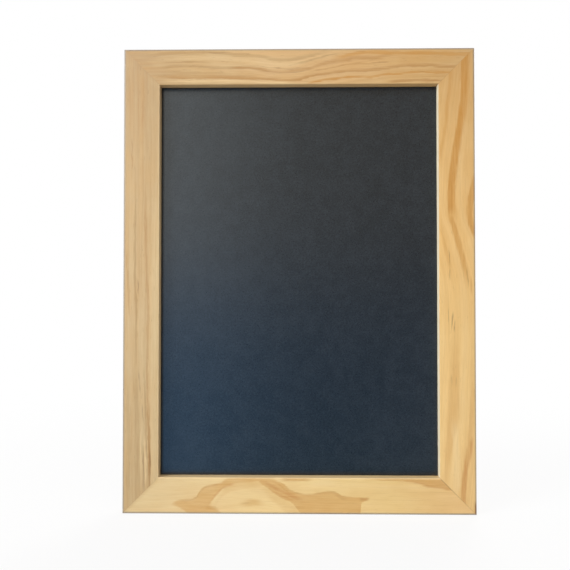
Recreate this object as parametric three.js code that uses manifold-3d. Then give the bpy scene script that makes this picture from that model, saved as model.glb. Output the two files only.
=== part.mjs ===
// A small framed chalkboard: four mitred, rabbeted pine rails round a hardboard chalk panel.
// Millimetres. +Z is up, the writing side faces -Y, and the origin is the middle of the bottom edge.
import * as THREE from "three";
import { mergeVertices } from "three/addons/utils/BufferGeometryUtils.js";
import Module from "manifold-3d";

const wasm = await Module();
wasm.setup();
const weldDistance = 1e-4; // vertices closer than this are one

// Driving dimensions of the frame
const sightWidth = 212; // clear opening between the rails' lips
const sightHeight = 298;
const railFace = 27.5; // width of a rail's flat face
const lipThickness = 7.5; // wood in front of the panel
const rabbetDepth = 7.5; // hollow behind the lip, measured from the panel's face to the rail's back
const rabbetWidth = 5; // how far the lip reaches over the rabbet
const outerFrontRadius = 1.5; // rounded edges of the moulding
const innerFrontRadius = 1;
const outerBackRadius = 1;
const innerBackRadius = 0.5;
const roundSteps = 6; // facets on a quarter round of the moulding
const glueLine = 0.1; // between two mitred faces

// Driving dimensions of the chalk panel
const panelThickness = 3;
const panelClearance = 0.5; // round the panel, in the rabbet
const panelEdgeChamfer = 0.25;

// Driving dimensions of the V-nails across the mitres
const vNailsPerCorner = 2;
const vNailThickness = 0.5;
const vNailLeg = 5.5; // from the bend to the curl at a leg's end
const vNailCurlRadius = 0.55;
const vNailHeight = 10; // how deep it is driven
const vNailSinkage = 0.2; // how far it lies below the wood's back
const pocketClearance = 0.25; // between a driven piece and the wood round it

// Driving dimensions of the framer's points that hold the panel
const pointPitch = 100; // wished distance from one point to the next
const pointLength = 15;
const pointWidth = 5.5;
const pointThickness = 0.4;
const pointBite = 5; // length inside the wood
const pointTip = 2; // length of the sharpened end

// Driving dimensions of the hangers
const hangerDrop = 90; // from the frame's top edge down to the ring's bar
const strapWidth = 12;
const strapThickness = 0.8;
const strapFoldGap = 0.15; // between the two legs of the folded strap
const strapNeckRadius = 1.2; // bend where the upper leg leaves the eye, at mid thickness
const eyeClearance = 0.3; // round the ring's bar
const wireRadius = 1;
const ringSideClearance = 0.75; // between the strap's edge and the ring's legs
const ringCornerRadius = 2;
const ringLeg = 0.5; // straight stretch between a corner and the bow
const ringButtGap = 0.3; // between the wire's two ends, in the eye
const ringSteps = 64; // stretches along the wire
const ringRestGap = 0.3; // between a resting ring and what is under it
const screwHeadRadius = 3.5;
const screwHeadHeight = 2.3;
const screwHeadEdge = 0.7; // upright edge of the head, under its crown
const screwCrownRun = 1.9; // how far in from the edge the crown is round
const screwShankRadius = 1.6;
const screwHoleRadius = 2; // in the strap
const screwLength = 10; // under the head
const screwTipLength = 3;
const headClearance = 1.3; // between the screw's head and the resting ring

// Sizes that follow
const railDepth = lipThickness + rabbetDepth;
const outerWidth = sightWidth + 2 * railFace;
const outerHeight = sightHeight + 2 * railFace;
const rabbetWall = railFace - rabbetWidth; // from the outer edge to the rabbet's wall
const backFace = railDepth / 2;
const frontFace = -railDepth / 2;
const panelFront = frontFace + lipThickness;
const panelBack = panelFront + panelThickness;
const eyeRadius = wireRadius + eyeClearance;
const barHeight = eyeRadius + strapThickness; // of the bar's axis over the wood
const strapTop = 2 * strapThickness + strapFoldGap; // of the folded legs over the wood
const ringHalfWidth = strapWidth / 2 + ringSideClearance + wireRadius; // at the wire's middle
const ringReach = ringCornerRadius + ringLeg + ringHalfWidth; // from the bar's axis to the bow's middle
const screwSetback = ringReach + wireRadius + headClearance + screwHeadRadius;
const restTilt = Math.asin((strapTop + ringRestGap + wireRadius - barHeight) / ringReach);
const hangerAcross = rabbetWall / 2; // from the frame's outer edge to the strap's middle

const pine = new THREE.MeshStandardMaterial({ color: 0xdcb681, roughness: 0.55, metalness: 0 });
const slate = new THREE.MeshStandardMaterial({ color: 0x3b434b, roughness: 0.6, metalness: 0 });
const blued = new THREE.MeshStandardMaterial({ color: 0x3a3d42, roughness: 0.45, metalness: 0.8 });
const nickel = new THREE.MeshStandardMaterial({ color: 0xb9b6ae, roughness: 0.3, metalness: 0.9 });

// Closed mesh to solid, and back to a mesh with one normal to a facet.
function toSolid(geometry) {
  const bare = geometry.clone();
  bare.deleteAttribute("normal");
  bare.deleteAttribute("uv");
  const merged = mergeVertices(bare, weldDistance);
  return new wasm.Manifold(new wasm.Mesh({
    numProp: 3,
    vertProperties: merged.attributes.position.array,
    triVerts: new Uint32Array(merged.index.array),
  }));
}

function toGeometry(solid) {
  const cut = solid.getMesh();
  const shared = new THREE.BufferGeometry();
  shared.setAttribute("position", new THREE.BufferAttribute(cut.vertProperties, 3));
  shared.setIndex(new THREE.BufferAttribute(cut.triVerts, 1));
  const faceted = shared.toNonIndexed();
  faceted.computeVertexNormals();
  return faceted;
}

function cutAway(geometry, cutters) {
  let solid = toSolid(geometry);
  for (const cutter of cutters) {
    solid = solid.subtract(toSolid(cutter));
  }
  return toGeometry(solid);
}

function named(name, geometry, material) {
  const mesh = new THREE.Mesh(geometry, material);
  mesh.name = name;
  return mesh;
}

// The moulding's section: x runs from the frame's outer edge inwards, y from its front face to its back.
function mouldingSection() {
  const section = new THREE.Shape();
  section.moveTo(outerFrontRadius, frontFace);
  section.lineTo(railFace - innerFrontRadius, frontFace);
  section.absarc(railFace - innerFrontRadius, frontFace + innerFrontRadius, innerFrontRadius, -Math.PI / 2, 0);
  section.lineTo(railFace, panelFront);
  section.lineTo(rabbetWall, panelFront);
  section.lineTo(rabbetWall, backFace - innerBackRadius);
  section.absarc(rabbetWall - innerBackRadius, backFace - innerBackRadius, innerBackRadius, 0, Math.PI / 2);
  section.lineTo(outerBackRadius, backFace);
  section.absarc(outerBackRadius, backFace - outerBackRadius, outerBackRadius, Math.PI / 2, Math.PI);
  section.lineTo(0, frontFace + outerFrontRadius);
  section.absarc(outerFrontRadius, frontFace + outerFrontRadius, outerFrontRadius, Math.PI, 1.5 * Math.PI);
  return section;
}

// A length of moulding with both ends cut at 45 degrees. It lies as the bottom rail does: its length
// along X about the middle, its outer edge at z = 0 and its inner edge above.
function mitredLength(outerLength) {
  const moulding = new THREE.ExtrudeGeometry(mouldingSection(), {
    depth: outerLength,
    steps: 1,
    bevelEnabled: false,
    curveSegments: roundSteps / 2,
  });
  moulding.translate(0, 0, -outerLength / 2);
  const place = moulding.attributes.position;
  const mitreStepBack = glueLine / 2 * Math.SQRT2;
  for (let i = 0; i < place.count; i += 1) {
    const end = outerLength / 2 - place.getX(i) - mitreStepBack;
    place.setZ(i, Math.sign(place.getZ(i)) * end);
  }
  moulding.rotateY(-Math.PI / 2);
  return moulding;
}

// Plan of a V-nail, its bend at the origin and its legs along +x and +y, grown on every side.
function vNailPlan(grow) {
  const half = vNailThickness / 2 + grow;
  const curl = vNailCurlRadius + grow;
  const meet = vNailLeg - Math.sqrt(curl * curl - half * half);
  const open = Math.asin(half / curl);
  const plan = new THREE.Shape();
  plan.moveTo(-half, -half);
  plan.lineTo(meet, -half);
  plan.absarc(vNailLeg, 0, curl, -Math.PI + open, Math.PI - open);
  plan.lineTo(half, half);
  plan.lineTo(half, meet);
  plan.absarc(0, vNailLeg, curl, -Math.PI / 2 + open, 1.5 * Math.PI - open);
  plan.lineTo(-half, -half);
  return plan;
}

// A V-nail, or with some growth its pocket, at a corner whose legs run along +X and +Z. The plan's y
// becomes Z and the driving direction becomes Y.
function vNailGeometry(across, grow, top) {
  const height = vNailHeight + grow;
  const nail = new THREE.ExtrudeGeometry(vNailPlan(grow), {
    depth: top - (backFace - vNailSinkage - height),
    bevelEnabled: false,
    curveSegments: roundSteps / 2,
  });
  nail.rotateX(Math.PI / 2);
  nail.translate(across, top, across);
  return nail;
}

// How far from the outer edge each V-nail's bend lies, spread over the wood beside the rabbet.
function vNailPlaces() {
  const reach = rabbetWall / vNailsPerCorner;
  return Array.from({ length: vNailsPerCorner }, (_, i) => (i + 0.5) * reach);
}

// Where the framer's points lie along a side, about the side's middle.
function pointPlaces(sightLength) {
  const count = Math.max(2, Math.round(sightLength / pointPitch));
  const step = sightLength / count;
  return Array.from({ length: count }, (_, i) => (i + 0.5 - count / 2) * step);
}

// A framer's point at x = 0, driven down into the wall of the bottom rail's rabbet.
function framersPoint() {
  const plan = new THREE.Shape();
  const half = pointWidth / 2;
  plan.moveTo(0, 0);
  plan.lineTo(half, pointTip);
  plan.lineTo(half, pointLength - half);
  plan.absarc(0, pointLength - half, half, 0, Math.PI);
  plan.lineTo(-half, pointTip);
  const blank = new THREE.ExtrudeGeometry(plan, {
    depth: pointThickness,
    bevelEnabled: false,
    curveSegments: roundSteps,
  });
  blank.rotateX(Math.PI / 2);
  blank.translate(0, panelBack + pointThickness, rabbetWall - pointBite);
  return blank;
}

function pointPocket(along) {
  const room = 2 * pocketClearance;
  const depth = pointBite + pocketClearance;
  const past = rabbetWidth; // the cutter comes out of the wall
  const pocket = new THREE.BoxGeometry(pointWidth + room, pointThickness + room, depth + past);
  pocket.translate(along, panelBack + pointThickness / 2, rabbetWall - depth + (depth + past) / 2);
  return pocket;
}

// The two pockets that one rail has for each V-nail, one at each of its ends.
function vNailPockets(outerLength, across) {
  const near = vNailGeometry(across, pocketClearance, backFace + outerBackRadius);
  near.translate(-outerLength / 2, 0, 0);
  const far = vNailGeometry(across, pocketClearance, backFace + outerBackRadius);
  far.rotateY(-Math.PI / 2);
  far.translate(outerLength / 2, 0, 0);
  return [near, far];
}

// A rail with the pockets for its V-nails, its framer's points and, on a stile, its hanger's screw.
function railGeometry(outerLength, sightLength, screwPlaces) {
  const cutters = [];
  for (const across of vNailPlaces()) {
    cutters.push(...vNailPockets(outerLength, across));
  }
  for (const along of pointPlaces(sightLength)) {
    cutters.push(pointPocket(along));
  }
  for (const along of screwPlaces) {
    cutters.push(screwPilot(along));
  }
  return cutAway(mitredLength(outerLength), cutters);
}

function screwPilot(along) {
  const depth = screwLength - strapTop + pocketClearance;
  const past = 1;
  const radius = screwShankRadius + pocketClearance;
  const pilot = new THREE.CylinderGeometry(radius, radius, depth + past, 4 * roundSteps);
  pilot.translate(along, backFace + past - (depth + past) / 2, hangerAcross);
  return pilot;
}

// One side of the frame: the rail and the framer's points in it.
function frameSide(name, outerLength, sightLength, screwPlaces) {
  const side = new THREE.Group();
  side.add(named(name, railGeometry(outerLength, sightLength, screwPlaces), pine));
  pointPlaces(sightLength).forEach((along, i) => {
    const point = named(`${name}_point_${i + 1}`, framersPoint(), blued);
    point.position.x = along;
    side.add(point);
  });
  return side;
}

function cornerNails(name) {
  const corner = new THREE.Group();
  vNailPlaces().forEach((across, i) => {
    const nail = vNailGeometry(across, 0, backFace - vNailSinkage);
    corner.add(named(`${name}_v_nail_${i + 1}`, nail, blued));
  });
  return corner;
}

// The sheet stands against the lips' backs, with its sharp edges just broken.
function chalkPanel() {
  const width = sightWidth + 2 * (rabbetWidth - panelClearance);
  const height = sightHeight + 2 * (rabbetWidth - panelClearance);
  const halfWide = width / 2 - panelEdgeChamfer;
  const halfHigh = height / 2 - panelEdgeChamfer;
  const sheet = new THREE.Shape();
  sheet.moveTo(-halfWide, -halfHigh);
  sheet.lineTo(halfWide, -halfHigh);
  sheet.lineTo(halfWide, halfHigh);
  sheet.lineTo(-halfWide, halfHigh);
  const panel = new THREE.ExtrudeGeometry(sheet, {
    depth: panelThickness - 2 * panelEdgeChamfer,
    bevelThickness: panelEdgeChamfer,
    bevelSize: panelEdgeChamfer,
    bevelSegments: 1,
  });
  panel.rotateX(Math.PI / 2);
  panel.translate(0, panelBack - panelEdgeChamfer, outerHeight / 2);
  return named("chalk_panel", panel, slate);
}

// Side view of the folded strap: x runs up the wood from the ring's bar, y out from the wood. The
// lower leg lies on the wood, turns round the bar and comes back on itself as the upper leg.
function strapProfile() {
  const tail = -(screwSetback + strapWidth / 2);
  const upperUnder = strapThickness + strapFoldGap;
  const upperMiddle = upperUnder + strapThickness / 2;
  const bendMiddle = eyeRadius + strapThickness / 2;
  const neckY = upperMiddle + strapNeckRadius;
  const neckX = -Math.sqrt((bendMiddle + strapNeckRadius) ** 2 - (neckY - barHeight) ** 2);
  const leave = Math.atan2(neckY - barHeight, neckX);
  const neckStart = leave - Math.PI;
  const profile = new THREE.Shape();
  profile.moveTo(tail, 0);
  profile.lineTo(0, 0);
  profile.absarc(0, barHeight, barHeight, -Math.PI / 2, leave);
  profile.absarc(neckX, neckY, strapNeckRadius - strapThickness / 2, neckStart, -Math.PI / 2, true);
  profile.lineTo(tail, strapTop);
  profile.lineTo(tail, upperUnder);
  profile.lineTo(neckX, upperUnder);
  profile.absarc(neckX, neckY, strapNeckRadius + strapThickness / 2, -Math.PI / 2, neckStart);
  profile.absarc(0, barHeight, eyeRadius, leave, -Math.PI / 2, true);
  profile.lineTo(tail, strapThickness);
  return profile;
}

// Outline of the strap seen from behind, with a round end about the screw's hole.
function strapPlan() {
  const half = strapWidth / 2;
  const pastEye = barHeight + 1;
  const plan = new THREE.Shape();
  plan.moveTo(-half, pastEye);
  plan.lineTo(-half, -screwSetback);
  plan.absarc(0, -screwSetback, half, Math.PI, 2 * Math.PI);
  plan.lineTo(half, pastEye);
  const hole = new THREE.Path();
  hole.absarc(0, -screwSetback, screwHoleRadius, 0, 2 * Math.PI);
  plan.holes.push(hole);
  return plan;
}

// Every hanger piece has the ring's bar along X at z = 0, and the wood's back at y = 0.
function strapGeometry() {
  const folded = new THREE.ExtrudeGeometry(strapProfile(), {
    depth: strapWidth,
    bevelEnabled: false,
    curveSegments: roundSteps,
  });
  folded.translate(0, 0, -strapWidth / 2);
  folded.rotateY(-Math.PI / 2);
  const past = 1;
  const blank = new THREE.ExtrudeGeometry(strapPlan(), {
    depth: 2 * barHeight + 2 * past,
    bevelEnabled: false,
    curveSegments: 2 * roundSteps,
  });
  blank.rotateX(Math.PI / 2);
  blank.translate(0, 2 * barHeight + past, 0);
  return toGeometry(toSolid(folded).intersect(toSolid(blank)));
}

// The wire's middle line, from one end in the eye round to the other.
class RingPath extends THREE.Curve {
  constructor() {
    super();
    const corner = ringHalfWidth - ringCornerRadius;
    const bowHeight = -ringCornerRadius - ringLeg;
    this.flat = new THREE.Path();
    this.flat.moveTo(ringButtGap / 2, 0);
    this.flat.lineTo(corner, 0);
    this.flat.absarc(corner, -ringCornerRadius, ringCornerRadius, Math.PI / 2, 0, true);
    this.flat.lineTo(ringHalfWidth, bowHeight);
    this.flat.absarc(0, bowHeight, ringHalfWidth, 0, Math.PI, true);
    this.flat.lineTo(-ringHalfWidth, -ringCornerRadius);
    this.flat.absarc(-corner, -ringCornerRadius, ringCornerRadius, Math.PI, Math.PI / 2, true);
    this.flat.lineTo(-ringButtGap / 2, 0);
  }

  getPoint(t, target = new THREE.Vector3()) {
    const spot = this.flat.getPoint(t);
    return target.set(spot.x, 0, spot.y);
  }
}

function ringGeometry() {
  const wire = new THREE.Shape();
  wire.absarc(0, 0, wireRadius, 0, 2 * Math.PI);
  return new THREE.ExtrudeGeometry(wire, {
    extrudePath: new RingPath(),
    steps: ringSteps,
    curveSegments: roundSteps,
  });
}

function screwGeometry() {
  const tip = strapTop - screwLength;
  const crown = strapTop + screwHeadEdge;
  const outline = new THREE.Path();
  outline.moveTo(0, tip);
  outline.lineTo(screwShankRadius, tip + screwTipLength);
  outline.lineTo(screwShankRadius, strapTop);
  outline.lineTo(screwHeadRadius, strapTop);
  outline.lineTo(screwHeadRadius, crown);
  outline.absellipse(
    screwHeadRadius - screwCrownRun, crown,
    screwCrownRun, screwHeadHeight - screwHeadEdge, 0, Math.PI / 2,
  );
  outline.lineTo(0, strapTop + screwHeadHeight);
  return new THREE.LatheGeometry(outline.getPoints(roundSteps / 2), 4 * roundSteps);
}

// Strap, screw and ring, with the ring hanging down over the strap.
function hanger(name) {
  const group = new THREE.Group();
  group.add(named(`${name}_hanger_strap`, strapGeometry(), nickel));
  const screw = named(`${name}_hanger_screw`, screwGeometry(), nickel);
  screw.position.z = -screwSetback;
  const ring = named(`${name}_hanger_ring`, ringGeometry(), nickel);
  ring.position.y = barHeight;
  ring.rotation.x = restTilt;
  group.add(screw, ring);
  return group;
}

// The frame's four sides and corners are copies of the bottom ones, turned about Y.
const quarter = Math.PI / 2;
const middle = outerHeight / 2;
const hangerUp = middle - hangerDrop;
const screwUp = hangerUp - screwSetback;

const sides = [
  { name: "bottom_rail", outer: outerWidth, sight: sightWidth, screws: [], at: [0, 0], turn: 0 },
  { name: "right_stile", outer: outerHeight, sight: sightHeight, screws: [screwUp],
    at: [outerWidth / 2, middle], turn: -quarter },
  { name: "top_rail", outer: outerWidth, sight: sightWidth, screws: [], at: [0, outerHeight],
    turn: 2 * quarter },
  { name: "left_stile", outer: outerHeight, sight: sightHeight, screws: [-screwUp],
    at: [-outerWidth / 2, middle], turn: quarter },
];
const corners = [
  { name: "bottom_left", at: [-outerWidth / 2, 0], turn: 0 },
  { name: "bottom_right", at: [outerWidth / 2, 0], turn: -quarter },
  { name: "top_right", at: [outerWidth / 2, outerHeight], turn: 2 * quarter },
  { name: "top_left", at: [-outerWidth / 2, outerHeight], turn: quarter },
];

const chalkboard = new THREE.Group();
for (const { name, outer, sight, screws, at, turn } of sides) {
  const side = frameSide(name, outer, sight, screws);
  side.position.set(at[0], 0, at[1]);
  side.rotation.y = turn;
  chalkboard.add(side);
}
for (const { name, at, turn } of corners) {
  const corner = cornerNails(name);
  corner.position.set(at[0], 0, at[1]);
  corner.rotation.y = turn;
  chalkboard.add(corner);
}
chalkboard.add(chalkPanel());
for (const [name, side] of [["left", -1], ["right", 1]]) {
  const fitting = hanger(name);
  fitting.position.set(side * (outerWidth / 2 - hangerAcross), backFace, middle + hangerUp);
  chalkboard.add(fitting);
}

export default chalkboard;
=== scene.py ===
import math

import bmesh
import bpy
from mathutils import Euler, Matrix, Vector


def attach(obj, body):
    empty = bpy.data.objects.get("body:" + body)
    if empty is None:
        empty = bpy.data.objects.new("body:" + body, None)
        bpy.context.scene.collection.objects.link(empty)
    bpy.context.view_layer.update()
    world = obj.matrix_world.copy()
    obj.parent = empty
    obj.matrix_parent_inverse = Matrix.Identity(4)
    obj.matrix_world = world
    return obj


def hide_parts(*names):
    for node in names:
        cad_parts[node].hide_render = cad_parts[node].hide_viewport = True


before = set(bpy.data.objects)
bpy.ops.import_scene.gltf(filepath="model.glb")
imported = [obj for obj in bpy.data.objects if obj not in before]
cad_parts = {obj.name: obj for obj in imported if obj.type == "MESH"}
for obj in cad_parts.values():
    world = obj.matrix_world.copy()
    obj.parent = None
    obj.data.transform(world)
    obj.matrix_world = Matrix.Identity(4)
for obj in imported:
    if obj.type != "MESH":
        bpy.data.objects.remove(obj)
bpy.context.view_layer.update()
mm = 0.001
quarter = math.pi / 2
scene = bpy.context.scene
scene.view_settings.view_transform = "Standard"

# The board in millimetres: x to the right, y out of the back, z up. The panel lies in the rabbet, behind
# the lip.
board = {"width": 267.0, "height": 353.0, "face": 27.5, "depth": 15.0, "lip": 7.5, "rabbet": 5.0,
         "panel": 3.0}
halfWidth = board["width"] / 2
midHeight = board["height"] / 2
backFace = board["depth"] / 2
panelBack = board["lip"] - backFace + board["panel"]
rabbetWall = board["face"] - board["rabbet"]
sight = {"width": board["width"] - 2 * board["face"], "height": board["height"] - 2 * board["face"]}


# Nodes, for shapes and for finishes alike, which go into the tree that was opened last

opened = {}


def plug(socket, value):
    if isinstance(value, bpy.types.NodeSocket):
        socket.id_data.links.new(value, socket)
    else:
        socket.default_value = value


def add(kind, feeds=None, **settings):
    node = opened["tree"].nodes.new(kind)
    for setting, value in settings.items():
        setattr(node, setting, value)
    for socket, value in (feeds or {}).items():
        plug(node.inputs[socket], value)
    return node


def geometry(kind, feeds=None, **settings):
    return add("GeometryNode" + kind, feeds, **settings).outputs[0]


def shader(kind, feeds=None, **settings):
    return add("ShaderNode" + kind, feeds, **settings).outputs[0]


def calc(operation, *values, clamp=False):
    feeds = dict(enumerate(values))
    return shader("Math", feeds, operation=operation, use_clamp=clamp)


def scaled(value, factor, start=None):
    if start is None:
        return calc("MULTIPLY", value, factor)
    return calc("MULTIPLY_ADD", value, factor, start)


def plus(value, other):
    return calc("ADD", value, other)


def less(value, other):
    return calc("SUBTRACT", value, other)


def ease(value, low, high):  # 0 up to low, 1 from high on, or the other way round
    return shader("MapRange", {0: value, 1: low, 2: high}, interpolation_type="SMOOTHSTEP")


def spot(x=0.0, y=0.0, z=0.0):
    return shader("CombineXYZ", {0: x, 1: y, 2: z})


def parts(vector):
    return add("ShaderNodeSeparateXYZ", {0: vector}).outputs


# Shapes grown by Geometry Nodes, in millimetres. Points nearer than tight are one.

tight = 0.002


def newShape(name, sizes):
    tree = bpy.data.node_groups.new(name, "GeometryNodeTree")
    tree.interface.new_socket("Mesh", in_out="OUTPUT", socket_type="NodeSocketGeometry")
    for label, value in sizes.items():
        kind = "Int" if isinstance(value, int) else "Float"
        socket = tree.interface.new_socket(label, in_out="INPUT", socket_type="NodeSocket" + kind)
        socket.default_value = value
    tree.interface.new_socket("Material", in_out="INPUT", socket_type="NodeSocketMaterial")
    opened["tree"] = tree
    return add("NodeGroupInput").outputs


def endShape(size, mesh, crease=0.6):
    whole = merged(geometry("RealizeInstances", {0: mesh}))
    smooth = geometry("SetShadeSmooth", {0: whole, "Shade Smooth": True})
    sharp = calc("GREATER_THAN", geometry("InputMeshEdgeAngle"), crease)
    creased = geometry("StoreNamedAttribute", {0: smooth, "Name": "sharp_edge", "Value": sharp},
                       data_type="BOOLEAN", domain="EDGE")
    done = geometry("SetMaterial", {0: creased, "Material": size["Material"]})
    add("NodeGroupOutput", {0: done})
    return opened["tree"]


def merged(mesh, distance=tight):
    return geometry("MergeByDistance", {0: mesh, "Distance": distance})


def perCorner(values, kind):
    switch = add("GeometryNodeIndexSwitch", data_type=kind)
    while len(switch.index_switch_items) < len(values):
        switch.index_switch_items.new()
    plug(switch.inputs[0], geometry("InputIndex"))
    for place, value in enumerate(values):
        plug(switch.inputs[place + 1], value)
    return switch.outputs[0]


def outline(corners, radii=None, steps=6, closed=True):
    points = geometry("Points", {"Count": len(corners), "Position": perCorner(corners, "VECTOR")})
    curve = geometry("PointsToCurves", {0: points})
    if closed:
        curve = geometry("SetSplineCyclic", {0: curve, "Cyclic": True})
    if radii:
        rounds = perCorner(radii, "FLOAT")
        curve = geometry("FilletCurve", {0: curve, "Count": steps, "Radius": rounds, "Limit Radius": True},
                         mode="POLY")
    return curve


def circle(corners, radius):
    return geometry("CurvePrimitiveCircle", {"Resolution": corners, "Radius": radius})


def straight(start, end):
    return geometry("CurvePrimitiveLine", {"Start": start, "End": end})


def sweep(path, section, caps=True, scale=1.0):
    feeds = {"Curve": path, "Profile Curve": section, "Scale": scale, "Fill Caps": caps}
    return geometry("CurveToMesh", feeds)


def cutOut(mesh, tool, **feeds):
    feeds = {"Mesh 1": mesh, "Mesh 2": tool, **feeds}
    return geometry("MeshBoolean", feeds, operation="DIFFERENCE", solver="EXACT")


def copiesInRow(mesh, count, first, step):
    row = geometry("MeshLine", {"Count": count, "Start Location": first, "Offset": step})
    return geometry("InstanceOnPoints", {0: row, "Instance": mesh})


def moved(mesh, offset=None, turn=None):
    feeds = {0: mesh}
    if offset is not None:
        feeds["Translation"] = offset
    if turn is not None:
        feeds["Rotation"] = turn
    return geometry("Transform", feeds)


def joined(meshes):
    node = add("GeometryNodeJoinGeometry")
    for mesh in meshes:
        plug(node.inputs[0], mesh)
    return node.outputs[0]


def newObject(name, data):
    made = bpy.data.objects.new(name, data)
    scene.collection.objects.link(made)
    return made


def fromShape(name, tree, sizes, material):
    piece = newObject(name, bpy.data.meshes.new(name + " blank"))
    modifier = piece.modifiers.new("Shape", "NODES")
    modifier.node_group = tree
    for item in tree.interface.items_tree:
        if item.in_out == "INPUT" and item.name in sizes:
            modifier[item.identifier] = sizes[item.name]
        elif item.in_out == "INPUT" and item.name == "Material":
            modifier[item.identifier] = material
    shown = bpy.context.evaluated_depsgraph_get()
    mesh = bpy.data.meshes.new_from_object(piece.evaluated_get(shown), depsgraph=shown)
    piece.modifiers.clear()
    mesh.transform(Matrix.Scale(mm, 4))
    mesh.name = name
    piece.data = mesh
    return piece


def finishPiece(piece, body, nodes):
    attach(piece, body)
    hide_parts(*nodes)
    print("made", piece.name, len(piece.data.polygons), "faces")


# Finishes

def screenColour(red, green, blue):  # from 0 to 255 on a screen, as shaders take it
    levels = [level / 255 for level in (red, green, blue)]
    return tuple(v / 12.92 if v < 0.04 else ((v + 0.055) / 1.055) ** 2.4 for v in levels) + (1,)


def screenColours(colours):
    return {name: screenColour(*levels) for name, levels in colours.items()}


def newMaterial(name):
    material = bpy.data.materials.new(name)
    material.use_nodes = True
    opened["tree"] = material.node_tree
    return material, material.node_tree.nodes["Principled BSDF"]


def newFinish(name):
    material, surface = newMaterial(name)
    where = add("ShaderNodeTexCoord").outputs["Object"]
    inMillimetres = shader("VectorMath", {0: where, 3: 1 / mm}, operation="SCALE")
    return material, surface, parts(inMillimetres)


def grainNoise(axes, runs, detail, roughness, shift):  # runs is how fast it changes, per millimetre
    where = spot(*(scaled(axis, run) for axis, run in zip(axes, runs)))
    if shift:
        where = shader("VectorMath", {0: where, 1: (shift, shift * 0.7, -shift)})
    return shader("TexNoise", {"Vector": where, "Scale": 1.0, "Detail": detail, "Roughness": roughness})


def swayed(value, noise, reach, clamp=False):
    return calc("MULTIPLY_ADD", less(noise, 0.5), reach, value, clamp=clamp)


def tint(share, under, over):
    return add("ShaderNodeMix", {0: share, 6: under, 7: over}, data_type="RGBA").outputs[2]


def coated(colour, coats):  # each coat is where it lies, how strong it is there and its tone
    for mask, share, tone in coats:
        colour = tint(scaled(mask, share), colour, tone)
    return colour


def bump(surface, height, depth, strength):  # depth in millimetres
    feeds = {"Height": height, "Distance": depth * mm, "Strength": strength}
    plug(surface.inputs["Normal"], shader("Bump", feeds))


# Pine. Along and across are millimetres from a rail's left or top end and from its outer edge.

# Of these tones, the rim's, the glint's and the crevice's are painted shade, highlight and shadow
tones = screenColours({
    "pale": (240, 215, 165), "honey": (210, 162, 96), "flame": (207, 155, 82), "rust": (196, 130, 70),
    "gold": (192, 134, 56), "brown": (178, 130, 74), "olive": (168, 132, 82), "umber": (124, 82, 42),
    "rim shade": (148, 138, 124), "glint": (255, 226, 176), "crevice shadow": (50, 34, 20), "bare": (226, 203, 164)})

# Each noise field's runs along, across and into a rail, then its detail, roughness and shift
pineFields = {
    "drift": ((0.022, 0.05, 0.05), 1, 0.5, 0), "waver": ((0.13, 0.3, 0.3), 1, 0.5, 3),
    "fray": ((0.1, 1.4, 1.4), 1, 0.5, 71), "bands": ((0.0045, 0.21, 0.03), 2, 0.5, 9),
    "lines": ((0.01, 0.62, 0.12), 2, 0.55, 17), "hair": ((0.014, 1.5, 0.3), 2, 0.6, 91),
    "fibre": ((0.06, 2.2, 2.2), 3, 0.65, 29), "flecks": ((0.16, 2.1, 2.1), 1, 0.5, 41),
    "blotch": ((0.045, 0.11, 0.05), 2, 0.5, 53), "patch": ((0.07, 0.4, 0.0), 1, 0.5, 61),
    "streaks": ((0.02, 1.5, 0.4), 1, 0.5, 83)}

# How far the growth rings sway with a field, and a factor and a start for the marks' unevenness
sway = {"drift": 1.2, "waver": 0.7, "fray": 2.4}
uneven = {"patch": (0.7, 0.65), "streaks": (0.9, 0.55)}

# Where each thing fades in, in millimetres. Deep is from the front face, and from the end is along the rail.
zones = {
    "mitre": (0.6, 0.05), "inner mitre": (4.0, 24.0), "rim": (2.2, 0.5), "rim deep": (1.9, 1.0),
    "lip": (26.9, 27.4), "lip deep": (0.2, 0.9), "crevice deep": (6.4, 7.4), "glint": (26.5, 27.0),
    "glint deep": (2.2, 1.0), "open corner": (2.4, 1.0), "open corner deep": (2.2, 1.2),
    "open corner from the end": (12.0, 6.0), "rabbet": (22.2, rabbetWall), "rabbet deep": (board["lip"], 7.8),
    "back deep": (13.9, 14.6)}

curveRange = {"low": -10.0, "span": 50.0}  # a float curve holds 0 to 1, which stands for these millimetres
softInside = 0.3  # the share of a streak's soft edge that lies within its width


def heightAlong(share, points, length):
    node = add("ShaderNodeFloatCurve", {"Value": share})
    node.mapping.extend = "HORIZONTAL"
    curve = node.mapping.curves[0]
    while len(curve.points) < len(points):
        curve.points.new(0.5, 0.5)
    for knot, (along, across) in zip(curve.points, points):
        knot.location = (along / length, (across - curveRange["low"]) / curveRange["span"])
    node.mapping.update()
    return scaled(node.outputs[0], curveRange["span"], curveRange["low"])


# A mark is a streak, which is a line with a width, or a region between two lines. Each of a line's points is
# along and across. A mark shows over its span of the rail, fades at the span's ends and has soft edges.

def streak(tone, line, width, span, strength=0.5, fade=14, soft=0.5, softIn=None):
    return {"tone": tone, "line": line, "half": width / 2, "span": span, "strength": strength, "fade": fade,
            "soft": soft, "softIn": softIn or soft, "without": None}


def region(tone, low, high, span, strength=0.5, fade=14, soft=0.5, without=None):
    return {"tone": tone, "sides": ((1, low), (-1, high)), "span": span, "strength": strength, "fade": fade,
            "soft": soft, "without": without}


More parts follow.
